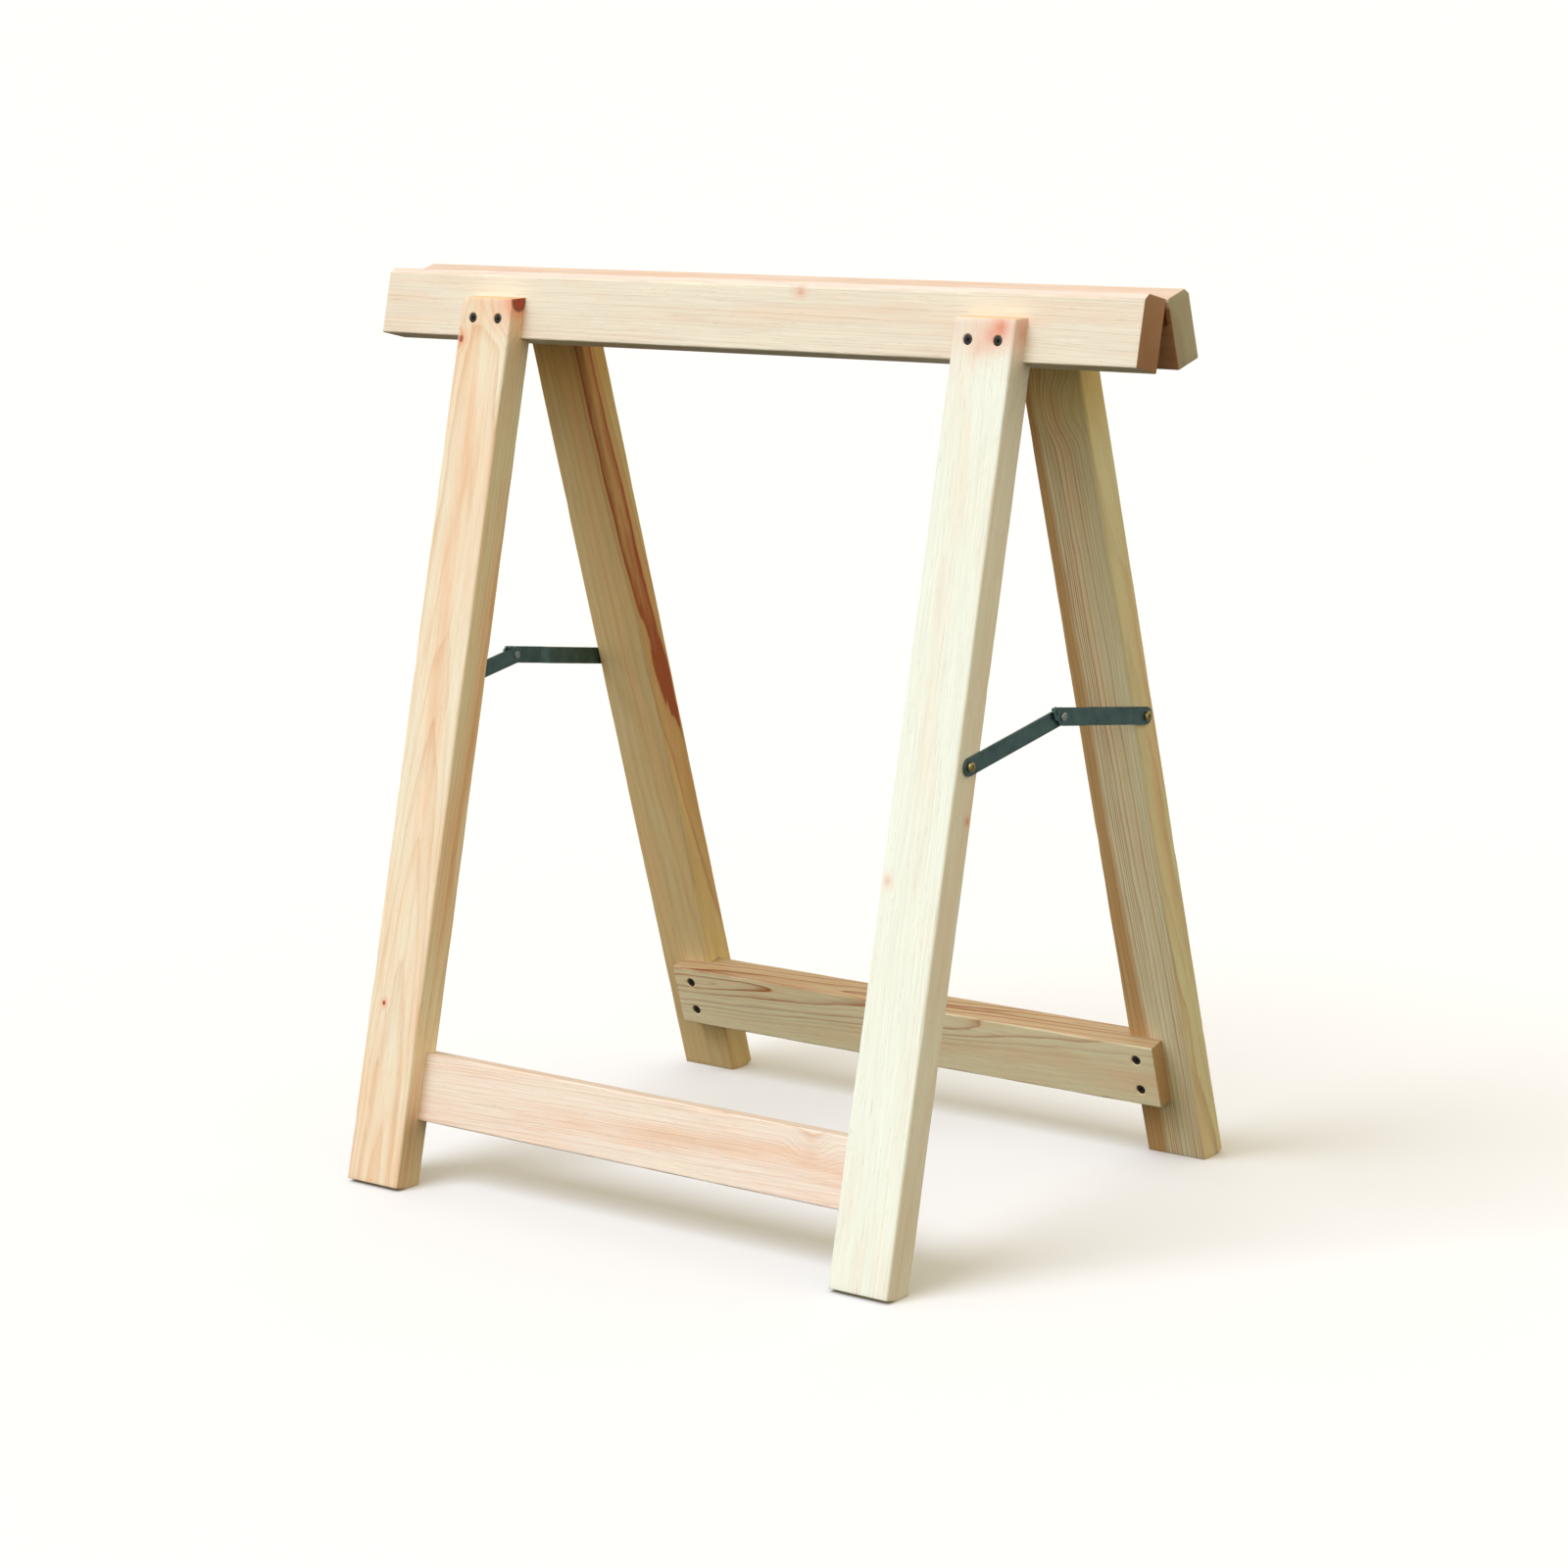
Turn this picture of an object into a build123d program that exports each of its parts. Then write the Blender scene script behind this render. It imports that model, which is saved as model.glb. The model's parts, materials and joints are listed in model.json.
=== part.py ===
"""Folding sawhorse: two leaning softwood frames hinged at the top, held open by two folding braces.

Row frame: X along the beams, +Y towards the back frame, +Z up, origin on the floor in the middle.

The wooden frame is drawn once, upright, in its own frame coordinates: the hinge line is the X axis,
+Y points out of the trestle and Z runs up along the legs. The back frame is that drawing leaned
back about the hinge line, and the front frame is its mirror image.
"""
import os
from math import acos, cos, degrees, radians, sin, tan

from build123d import *

os.makedirs("parts", exist_ok=True)

# ---- driving dimensions, millimetres and degrees ----
overall_height = 750.0      # floor to the two ridges, trestle open
frame_tilt = 14.5           # each frame leans this far from upright
stock_width = 57.0          # one planed softwood section makes all eight sticks
stock_thickness = 28.5
beam_length = 775.0
leg_spacing = 512.0         # centre to centre of a frame's two legs
stretcher_length = 520.0
stretcher_depth = 688.0     # hinge line down to the stretcher's middle
housing_depth = 12.5        # how deep beam and stretcher are let into the legs
ridge_chamfer = 5.0         # on the outer top edge of each beam
beam_rise = 2.0             # beam's top face above the hinge line
inner_gap = 1.88            # hinge line to the inner faces of beam and stretcher
leg_drop = 26.4             # beam's top face down to the outer edge of the leg's top
foot_bevel_reach = 16.0     # width of the bevel that rests on the floor, across the leg
beam_ease = 1.0             # rounding of the long edges
leg_ease = 2.0
end_ease = 1.2
spare = 2.0                 # added to the length of a tool so that it cuts right through

# countersunk wood screws through the legs and stretchers
screw_length = 40.0
screw_shank_r = 2.1
screw_head_r = 4.0
screw_sink = 1.0            # head this far below the wood's face
screw_rim = 0.4             # straight rim above a countersunk head's cone
screw_tip_slope = 2.5       # length of a screw's point, in shank radii
sink_gap = 0.15             # radial, between a sunk head and the wall above it
screw_pair_spacing = 28.0
leg_screw_drop = 17.0       # below the outer edge of the leg's top
stretcher_screw_inset = 18.0
screw_recess = (4.4, 1.0, 1.8)   # cross recess: width, slot and depth
fit_gap = 0.03              # round each screw in its hole

# butt hinges between the two beams
hinge_length = 60.0
hinge_end_margin = 4.0      # from the beam's end
hinge_leaf_thickness = 1.5
hinge_leaf_depth = 19.0     # hinge line down to the leaf's lower edge
knuckle_r = 2.4
knuckle_count = 5
knuckle_gap = 0.3
hinge_pin_r = 1.3
hinge_pin_overhang = 0.8
hinge_pin_round = 0.4
running_gap = 0.05          # radial, between pin and knuckle
hinge_screw_length = 16.0
hinge_screw_shank_r = 1.4
hinge_screw_head_r = 2.7
hinge_screw_recess = (3.0, 0.7, 1.0)
hinge_screw_offset = 18.0   # each side of the hinge's middle

# folding braces on the outer side faces of the legs
brace_depth = 365.0         # hinge line down to the screws, along the legs
link_length = 124.0         # centre to centre
link_width = 14.5
link_thickness = 2.0
link_standoff = 0.4         # leg's side face to the link
lap_gap = 0.3               # between the two links where they overlap
link_hole_gap = 0.08        # radial, link turning on its screw
joggle_start = 42.0         # back link steps outward between these, measured from the rivet
joggle_end = 34.0
link_edge = 0.25            # broken edge round the front link
ear_reach = 14.0            # back link's stop ear past the rivet
ear_corners = ((3.2, 7.25), (0.0, 3.625), (3.0, -2.5))   # back from the ear's tip, and off the middle
ear_root = ((-4.0, 7.25), (0.0, -5.0))                   # where it meets the link, from the rivet
stop_gap = 0.3              # stop lug to the front link's upper edge, trestle open
stop_thickness = 1.8
stop_reach = (4.5, 9.5)     # where the lug lies along the front link, measured from the rivet
stop_overlap = 0.2          # lug reaches this far past the front link's inner face
stop_round = 0.5
pip_place = (7.3, 3.6)      # press mark over the lug, from the rivet
pip_r = 2.4
pip_height = 0.8
brace_screw_r = 2.0
brace_screw_length = 24.0
brace_head_r = 4.0
brace_head_height = 2.4
brace_head_gap = 0.15       # under the head, so that the link turns freely
brace_head_round = 0.55     # rounding of the pan head, as a share of its height
brace_screw_tip = 3.0
brace_screw_tip_r = 0.4
brace_hole_spare = 1.0      # hole this much deeper than the screw
brace_screw_recess = (4.4, 1.0, 1.5)
rivet_r = 2.0
rivet_head_r = 3.6
rivet_head_height = 1.8
rivet_head_round = 0.8      # rounding of the head, as a share of its height
rivet_tail_r = 3.2
rivet_tail_height = 1.0
rivet_tail_round = 0.5
rivet_split_gap = 0.2

# ---- worked out from the above ----
lean = radians(frame_tilt)
face_in = inner_gap
face_out = face_in + stock_thickness
leg_in = face_out - housing_depth
leg_out = leg_in + stock_thickness
leg_middle = (leg_in + leg_out) / 2
leg_x = leg_spacing / 2
leg_side_x = leg_x + stock_width / 2
leg_top = beam_rise - leg_drop
ridge_height = beam_rise * cos(lean) + (face_out - ridge_chamfer) * sin(lean)
hinge_height = overall_height - ridge_height
foot_heel = leg_in + foot_bevel_reach
foot_end = -(hinge_height + foot_heel * sin(lean)) / cos(lean)
hinge_x = beam_length / 2 - hinge_end_margin - hinge_length / 2
brace_y = leg_middle * cos(lean) + brace_depth * sin(lean)
brace_z = hinge_height - brace_depth * cos(lean) + leg_middle * sin(lean)
brace_rise_angle = degrees(acos(brace_y / link_length))
front_layer = link_standoff
outer_layer = link_standoff + link_thickness + lap_gap


def lean_back(piece):
    """From frame coordinates to the back frame's place in the open trestle."""
    return Pos(0, 0, hinge_height) * Rot(frame_tilt, 0, 0) * piece


def lean_front(piece):
    return mirror(lean_back(piece), about=Plane.XZ)


def outline(points):
    return make_face(Polyline(*points, close=True))


def ease_corners(face, corners, radius):
    chosen = [
        v for v in face.vertices()
        if min((v.center() - Vector(*c)).length for c in corners) < 0.01
    ]
    return fillet(chosen, radius)


def along_x(face, length, middle=0.0):
    """Extrude a (Y, Z) outline along X about its middle."""
    return Pos(middle, 0, 0) * extrude(Plane.YZ * face, amount=length / 2, both=True)


def rod_x(radius, length, middle=0.0):
    return Pos(middle, 0, 0) * Rot(0, 90, 0) * Cylinder(radius, length)


def facing(point, direction):
    """Location with its local +Z out of a surface."""
    return Plane(origin=point, z_dir=direction).location


def cross_recess(width, slot, depth):
    bar = Pos(0, 0, -depth / 2) * Box(width, slot, depth)
    return bar + Rot(0, 0, 90) * bar


# ---- fasteners, drawn with the head's top at z = 0 and the shank down -Z ----

def countersunk_body(head_r, shank_r, length, extra=0.0):
    """Cone head, plain shank and pointed tip; extra grows it all round into its own hole."""
    cone = head_r - shank_r
    tip = screw_tip_slope * shank_r
    half = [
        (0, 0),
        (head_r + extra, 0),
        (head_r + extra, -screw_rim),
        (shank_r + extra, -screw_rim - cone),
        (shank_r + extra, tip - length),
        (0, -length - 2 * extra),
    ]
    return revolve(Plane.XZ * outline(half), axis=Axis.Z)


def wood_screw():
    body = countersunk_body(screw_head_r, screw_shank_r, screw_length)
    return body - cross_recess(*screw_recess)


def wood_screw_hole():
    sink = Pos(0, 0, spare / 2) * Cylinder(screw_head_r + sink_gap, spare)
    return countersunk_body(screw_head_r, screw_shank_r, screw_length, fit_gap) + sink


def hinge_screw():
    body = countersunk_body(hinge_screw_head_r, hinge_screw_shank_r, hinge_screw_length)
    return body - cross_recess(*hinge_screw_recess)


def hinge_screw_hole():
    over = Pos(0, 0, spare / 2) * Cylinder(hinge_screw_head_r + fit_gap, spare)
    body = countersunk_body(hinge_screw_head_r, hinge_screw_shank_r, hinge_screw_length, fit_gap)
    return body + over


def brace_screw():
    """Pan head whose underside is at z = 0."""
    head = Pos(0, 0, brace_head_height / 2) * Cylinder(brace_head_r, brace_head_height)
    head = fillet(head.edges().group_by(Axis.Z)[-1], brace_head_round * brace_head_height)
    shank_length = brace_screw_length - brace_screw_tip
    shank = Pos(0, 0, -shank_length / 2) * Cylinder(brace_screw_r, shank_length)
    point = Rot(180, 0, 0) * Cone(brace_screw_r, brace_screw_tip_r, brace_screw_tip)
    point = Pos(0, 0, -shank_length - brace_screw_tip / 2) * point
    return head + shank + point - Pos(0, 0, brace_head_height) * cross_recess(*brace_screw_recess)


def brace_screw_hole():
    depth = brace_screw_length + brace_hole_spare
    return Pos(0, 0, -depth / 2) * Cylinder(brace_screw_r + fit_gap, depth)


# ---- where the fasteners go, in frame coordinates ----

def leg_screw_places():
    """Two screws side by side through the top of each leg into the beam."""
    depth = leg_top - leg_screw_drop
    half = screw_pair_spacing / 2
    return [
        facing((side * leg_x + step, leg_out - screw_sink, depth), (0, 1, 0))
        for side in (-1, 1)
        for step in (-half, half)
    ]


def stretcher_screw_places():
    """Two screws one above the other through each end of the stretcher into the leg."""
    x = stretcher_length / 2 - stretcher_screw_inset
    half = screw_pair_spacing / 2
    return [
        facing((side * x, face_in + screw_sink, -stretcher_depth + step), (0, -1, 0))
        for side in (-1, 1)
        for step in (-half, half)
    ]


def hinge_screw_places(side):
    """Through one leaf of the hinge at this end of the beam."""
    depth = -(knuckle_r + hinge_leaf_depth) / 2
    return [
        facing((side * hinge_x + step, face_in - hinge_leaf_thickness, depth), (0, -1, 0))
        for step in (-hinge_screw_offset, hinge_screw_offset)
    ]


def brace_screw_place(side):
    surface = side * (leg_side_x + link_standoff + link_thickness + brace_head_gap)
    return facing((surface, leg_middle, -brace_depth), (side, 0, 0))


# ---- wooden pieces, in frame coordinates ----

def beam():
    top = beam_rise
    bottom = beam_rise - stock_width
    ridge = face_out - ridge_chamfer
    shoulder = top - ridge_chamfer
    corners = [(face_in, top), (ridge, top), (face_out, shoulder), (face_out, bottom), (face_in, bottom)]
    face = outline(corners)
    face = fillet(face.vertices(), beam_ease)
    wood = along_x(face, beam_length)
    for place in leg_screw_places():
        wood -= place * wood_screw_hole()
    for side in (-1, 1):
        wood -= rod_x(knuckle_r + knuckle_gap, hinge_length + spare, side * hinge_x)
        for place in hinge_screw_places(side):
            wood -= place * hinge_screw_hole()
    return wood


def leg_side_outline():
    """The leg seen from its end: cut level at the top, halved for the beam, bevelled at the foot."""
    level = tan(lean)
    top_in = leg_top + (leg_out - face_out) * level
    foot_in = foot_end + foot_bevel_reach * level
    beam_bottom = beam_rise - stock_width
    points = [
        (leg_out, leg_top), (face_out, top_in), (face_out, beam_bottom), (leg_in, beam_bottom),
        (leg_in, foot_in), (foot_heel, foot_end), (leg_out, foot_end),
    ]
    return ease_corners(outline(points), [points[0], points[-1]], end_ease)


def leg(side):
    middle = side * leg_x
    length = leg_top - foot_end + stock_thickness
    section = RectangleRounded(stock_width, stock_thickness, leg_ease)
    blank = extrude(Plane.XY.offset(foot_end) * Pos(middle, leg_middle) * section, amount=length)
    wood = blank & along_x(leg_side_outline(), stock_width + spare, middle)
    housing_length = stretcher_length / 2 - (leg_x - stock_width / 2)
    housing_x = side * (stretcher_length / 2 - housing_length / 2)
    housing_y = face_out - housing_depth / 2
    wood -= Pos(housing_x, housing_y, -stretcher_depth) * Box(housing_length, housing_depth, stock_width)
    for place in leg_screw_places() + stretcher_screw_places():
        if place.position.X * side > 0:
            wood -= place * wood_screw_hole()
    wood -= brace_screw_place(side) * brace_screw_hole()
    return wood


def stretcher():
    blank = Box(stretcher_length, stock_thickness, stock_width)
    blank = fillet(blank.edges().filter_by(Axis.X), beam_ease)
    wood = Pos(0, (face_in + face_out) / 2, -stretcher_depth) * blank
    for place in stretcher_screw_places():
        wood -= place * wood_screw_hole()
    return wood


# ---- butt hinge, in frame coordinates ----

def knuckle_spans(which):
    """(middle, length) of this leaf's knuckles along the hinge; which is 0 or 1."""
    pitch = hinge_length / knuckle_count
    return [
        ((i + 0.5) * pitch - hinge_length / 2, pitch - knuckle_gap)
        for i in range(which, knuckle_count, 2)
    ]


def hinge_leaf(side, which):
    middle = side * hinge_x
    plate_y = face_in - hinge_leaf_thickness / 2
    plate_top = -knuckle_r - knuckle_gap
    plate_height = hinge_leaf_depth + plate_top
    steel = Pos(middle, plate_y, plate_top - plate_height / 2) * Box(
        hinge_length, hinge_leaf_thickness, plate_height
    )
    for offset, span in knuckle_spans(which):
        tongue = Box(span, hinge_leaf_thickness, -plate_top)
        steel += Pos(middle + offset, plate_y, plate_top / 2) * tongue
        steel += rod_x(knuckle_r, span, middle + offset)
    steel -= rod_x(hinge_pin_r + running_gap, hinge_length + spare, middle)
    for place in hinge_screw_places(side):
        steel -= place * hinge_screw_hole()
    return steel


def hinge_pin(side):
    pin = rod_x(hinge_pin_r, hinge_length + 2 * hinge_pin_overhang, side * hinge_x)
    return fillet(pin.edges().filter_by(GeomType.CIRCLE), hinge_pin_round)


# ---- folding brace on the +X side: flat, local X along the link from the leg's screw to the
# ---- rivet, local Z out of the leg's side face ----

def place_link(piece):
    """From link coordinates to the front leg of the open trestle."""
    rise = radians(brace_rise_angle)
    spot = Plane(
        origin=(leg_side_x, -brace_y, brace_z), x_dir=(0, cos(rise), sin(rise)), z_dir=(1, 0, 0)
    )
    return spot.location * piece


def link_blank():
    slot = SlotCenterToCenter(link_length, link_width)
    return Pos(link_length / 2, 0) * slot


def link_holes(height):
    screw_hole = Cylinder(brace_screw_r + link_hole_gap, height)
    rivet_hole = Pos(link_length, 0) * Cylinder(rivet_r + fit_gap, height)
    return screw_hole + rivet_hole


def front_link():
    plate = extrude(Pos(0, 0, front_layer) * link_blank(), amount=link_thickness)
    plate = chamfer(plate.faces().filter_by(Axis.Z).edges(), link_edge)
    return place_link(plate - link_holes(6 * link_thickness))


def stop_ear():
    """The corner of the back link past the rivet, which carries the stop lug."""
    tip = link_length + ear_reach
    outside = [(tip - back, off) for back, off in ear_corners]
    first, last = [(link_length + along, off) for along, off in ear_root]
    return ease_corners(outline([first, *outside, last]), outside, end_ease)


def stop_lug():
    """Bent in over the front link's upper edge, drawn in the front link's coordinates."""
    near, far = stop_reach
    depth = lap_gap + link_thickness + stop_overlap
    lug = Box(far - near, stop_thickness, depth)
    lug = fillet(lug.edges().group_by(Axis.Z)[0], stop_round)
    y = link_width / 2 + stop_gap + stop_thickness / 2
    return Pos(link_length - (near + far) / 2, y, front_layer + depth / 2) * lug


def back_link():
    inner, outer = front_layer, outer_layer
    step_in = link_length - joggle_start
    step_out = link_length - joggle_end
    left, right = -link_width, link_length + 2 * link_width
    ribbon = outline([
        (left, inner), (step_in, inner), (step_out, outer), (right, outer),
        (right, outer + link_thickness), (step_out, outer + link_thickness),
        (step_in, inner + link_thickness), (left, inner + link_thickness),
    ])
    strip = extrude(Plane.XZ * ribbon, amount=2 * link_width, both=True)
    shape = link_blank() + stop_ear()
    plate = strip & extrude(shape, amount=outer + 2 * link_thickness)
    plate -= link_holes(12 * link_thickness)
    plate += stop_pip()
    back = mirror(place_link(plate), about=Plane.XZ)
    return back + place_link(stop_lug())


def stop_pip():
    """Round press mark over the lug."""
    along, off = pip_place
    low = Pos(0, 0, pip_height / 2) * Box(3 * pip_r, 3 * pip_r, pip_height)
    return Pos(link_length + along, off, outer_layer + link_thickness) * (Sphere(pip_r) & low)


def rivet_outer():
    """Domed head and the half of the shank that turns with the back link."""
    low = front_layer + link_thickness + lap_gap / 2 + rivet_split_gap / 2
    top = outer_layer + link_thickness
    shank = Pos(0, 0, (low + top) / 2) * Cylinder(rivet_r, top - low)
    head = Pos(0, 0, top + rivet_head_height / 2) * Cylinder(rivet_head_r, rivet_head_height)
    head = fillet(head.edges().group_by(Axis.Z)[-1], rivet_head_round * rivet_head_height)
    return mirror(place_link(Pos(link_length, 0) * (shank + head)), about=Plane.XZ)


def rivet_inner():
    """Flat tail and the half of the shank that turns with the front link."""
    high = front_layer + link_thickness + lap_gap / 2 - rivet_split_gap / 2
    shank = Pos(0, 0, (front_layer + high) / 2) * Cylinder(rivet_r, high - front_layer)
    tail = Pos(0, 0, front_layer - rivet_tail_height / 2) * Cylinder(rivet_tail_r, rivet_tail_height)
    tail = fillet(tail.edges().group_by(Axis.Z)[0], rivet_tail_round * rivet_tail_height)
    return place_link(Pos(link_length, 0) * (shank + tail))


# ---- write one file per node ----

def save(name, *solids):
    shape = solids[0] if len(solids) == 1 else Compound(children=list(solids))
    export_step(shape, f"parts/{name}.step")


def save_frame(name, lean_it, which_leaf):
    save(f"{name}_beam", lean_it(beam()))
    save(f"{name}_stretcher", lean_it(stretcher()))
    save(f"{name}_leg_screws", *[lean_it(place * wood_screw()) for place in leg_screw_places()])
    save(
        f"{name}_stretcher_screws",
        *[lean_it(place * wood_screw()) for place in stretcher_screw_places()],
    )
    save(f"{name}_brace_screws", *[lean_it(brace_screw_place(s) * brace_screw()) for s in (-1, 1)])
    hinge_places = hinge_screw_places(-1) + hinge_screw_places(1)
    save(f"{name}_hinge_screws", *[lean_it(place * hinge_screw()) for place in hinge_places])
    for side, word in ((-1, "left"), (1, "right")):
        save(f"{name}_{word}_leg", lean_it(leg(side)))
        save(f"{word}_hinge_{name}_leaf", lean_it(hinge_leaf(side, which_leaf)))


def save_braces():
    pieces = {
        "front_link": front_link(),
        "back_link": back_link(),
        "rivet_head": rivet_outer(),
        "rivet_tail": rivet_inner(),
    }
    for name, piece in pieces.items():
        save(f"right_brace_{name}", piece)
        save(f"left_brace_{name}", mirror(piece, about=Plane.YZ))


save_frame("front", lean_front, 0)
save_frame("back", lean_back, 1)
for hinge_side, hinge_word in ((-1, "left"), (1, "right")):
    save(f"{hinge_word}_hinge_pin", lean_front(hinge_pin(hinge_side)))
save_braces()
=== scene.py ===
"""Folding sawhorse, its looks: planed pine sticks, blackened screws and plated steel braces and hinges.

Every stick is drawn about its own middle with local X along the grain, Y through its thickness and
Z across its width, so the growth rings in its material follow the stick wherever its frame goes.
"""
import json
import random
from math import cos, pi, radians, sin, tan

import bmesh
import bpy
import numpy as np
from mathutils import Matrix, Vector, noise


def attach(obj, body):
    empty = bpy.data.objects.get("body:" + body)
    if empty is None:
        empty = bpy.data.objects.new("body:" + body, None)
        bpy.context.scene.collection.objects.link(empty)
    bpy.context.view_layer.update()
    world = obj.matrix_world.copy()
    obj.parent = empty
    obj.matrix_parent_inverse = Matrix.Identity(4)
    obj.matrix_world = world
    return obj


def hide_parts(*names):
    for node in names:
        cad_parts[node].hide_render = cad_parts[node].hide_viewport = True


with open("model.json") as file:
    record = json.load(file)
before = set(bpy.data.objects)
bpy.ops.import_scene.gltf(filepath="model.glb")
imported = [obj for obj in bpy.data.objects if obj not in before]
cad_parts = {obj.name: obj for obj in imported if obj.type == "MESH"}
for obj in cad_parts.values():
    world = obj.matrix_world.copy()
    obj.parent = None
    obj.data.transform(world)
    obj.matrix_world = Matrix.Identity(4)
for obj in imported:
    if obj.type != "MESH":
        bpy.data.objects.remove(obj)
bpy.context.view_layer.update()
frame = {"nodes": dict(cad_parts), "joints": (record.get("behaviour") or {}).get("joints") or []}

MM = 0.001
FRONT, BACK = -1, 1
LEFT, RIGHT = -1, 1
words = {FRONT: "front", BACK: "back"}
hand_words = {LEFT: "left", RIGHT: "right"}

# ---- places and sizes taken from the frame, metres ----

fold = next(j for j in frame["joints"] if j["name"] == "frame_fold")
hinge_z = fold["pos_m"][2]
lean = radians(fold["range_deg"][1]) / 2        # each frame leans by half of the whole fold


def leaned(side):
    """From a frame standing upright under the hinge line to its place in the open sawhorse."""
    return Matrix.Translation((0, 0, hinge_z)) @ Matrix.Rotation(side * lean, 4, "X")


def upright_box(node, side):
    """Lowest and highest corners of a CAD node with its frame stood upright under the hinge line."""
    back = leaned(side).inverted()
    points = np.array([back @ v.co for v in frame["nodes"][node].data.vertices])
    return Vector(points.min(0)), Vector(points.max(0))


# ---- sizes of what the frame doesn't measure ----

beam_chamfer = 5 * MM         # on the outer top edge of a beam
leg_corner = 2 * MM           # rounding of the long edges
beam_corner = 1 * MM
end_corner = 0.7 * MM         # sawn ends, edges broken with paper
end_turns = (0, 35, 65, 90)   # degrees round that edge
corner_facets = 4             # to a quarter turn of a long edge
foot_bevel = 16 * MM          # the part of the foot that is cut level
skin_step = 5 * MM            # between loops along a stick
skin_pitch = 6 * MM           # between points round a stick
skin_hold = 1.2 * MM          # beside a rounded edge, keeps the flat face flat
fit = 0.12 * MM               # a hair of light in the joints
overcut = 5 * MM              # saw cuts run this far past the wood

wave_depth = 0.07 * MM        # planed faces are not quite flat
wave_length = 60 * MM
wave_width = 20 * MM
wear_depth = 0.35 * MM        # handling rounds the long edges unevenly
wear_length = 35 * MM
wear_bias = 0.3               # raises the share of an edge that is worn
dent_count = 7                # knocks on the edges of one stick
dent_depth = (0.3 * MM, 0.8 * MM)
dent_half = (5 * MM, 9 * MM)  # half of a knock's length

head_r = 4 * MM               # countersunk wood screw
shank_r = 2.1 * MM
countersink_rim = 0.4 * MM    # straight part of a countersink, above its cone
brace_head_height = 2.4 * MM
brace_shank_r = 2 * MM
brace_screw_bite = 21.45 * MM     # how far a brace screw goes into the leg
brace_hole_depth = 25 * MM
hinge_head_r = 2.7 * MM
hinge_shank_r = 1.4 * MM
knuckle_relief = 2.7 * MM     # radius of the groove for a hinge's knuckles
knuckle_play = 1 * MM         # at each end of that groove


# ---- colour and nodes ----

def linear(code, alpha=1.0):
    """The linear colour that nodes take, from an sRGB hex value."""
    values = [int(code[i:i + 2], 16) / 255 for i in (1, 3, 5)]
    return [v / 12.92 if v <= 0.04045 else ((v + 0.055) / 1.055) ** 2.4 for v in values] + [alpha]


def add(tree, kind, inputs=None, stops=None, **settings):
    """Adds a node, sets it, and fills or links its inputs; stops are a ramp's (place, colour)."""
    node = tree.nodes.new(kind)
    for key, value in settings.items():
        setattr(node, key, value)
    for key, value in (inputs or {}).items():
        if isinstance(value, bpy.types.NodeSocket):
            tree.links.new(value, node.inputs[key])
        else:
            node.inputs[key].default_value = value
    if stops:
        ramp = node.color_ramp.elements
        for spot, (place, colour) in enumerate(stops):
            element = ramp[spot] if spot < 2 else ramp.new(place)
            element.position = place
            element.color = colour
    return node


MIX_A, MIX_B, MIX_OUT = 6, 7, 2      # the colour sockets of a Mix node


def new_material(name, **surface):
    """A material with its shader; surface sets what is the same all over it."""
    material = bpy.data.materials.new(name)
    material.use_nodes = True
    tree = material.node_tree
    shader = tree.nodes["Principled BSDF"]
    for key, value in surface.items():
        shader.inputs[key.replace("_", " ").title().replace("Ior", "IOR")].default_value = value
    return material, tree, shader


def grey(value):
    return (value, value, value, 1)


# ---- pine ----

pine_early = "#F3E3C2"       # pale wood of spring
pine_late = "#D59A5C"        # the darker line that closes each year
pine_blush = "#F3BE92"       # resin-rich streaks
pine_sap = "#F4F0DA"         # whitest sapwood
pine_heart = "#D08A46"       # old wood near the pith
pine_end = "#B48A5C"         # end grain drinks the light
pine_resin = "#A8713C"       # in the fine ducts
pine_stain = "#DE7458"       # resin soaked into the wood round a buried knot
knot_core = "#A63E18"
knot_rim = "#6E2A0E"
knot_glow = "#EE9068"        # resin-rich wood round a knot

# length along the grain and width across it, mm
stray_size = (238, 52.6)     # fibres wander off straight
ripple_size = (41.7, 5.88)   # wriggles in a ring
patch_size = (200, 23.8)     # stretches where the rings are strong or faint
streak_size = (182, 18.2)    # rich and white streaks, a finger wide and a hand long
fibre_size = (62.5, 1.22)    # bundles of fibres, since single ones are too fine to show
duct_size = (14.3, 0.667)    # resin ducts, drawn wider than real ones so that they show

ring_wriggle = 0.42          # years
year_spread = 2.2            # years by which good and bad growth shifts the rings
spell = 2.38                 # years that good or bad growth lasts
calm_rest = 0.1              # what is left of the rings where they have faded
heart_edge = 5               # mm over which the heartwood turns pale
heart_share = 0.8
end_share = 0.86
knot_stretch = 1.25          # a knot is longer along the grain
knot_swell = 1.5             # how far the rings part round a knot, in its radii
knot_close = (0.6, 5.5)      # radii over which they close again
knot_reach = 4               # radii over which a knot colours the wood
hard_knot = 0.8              # redness from which a knot has a rim
face_turn = (0.45, 0.97)     # how squarely a face looks along Z, for none and all of its filter
upper_end = (0.24, 0.33)     # metres from the stick's middle, for none and all of the end's filter

# how dark the wood is through one year: slowly darker, then a sharp end
year_profile = ((0.0, 0.10), (0.30, 0.0), (0.62, 0.16), (0.84, 0.72), (0.93, 1.0), (1.0, 0.12))

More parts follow.
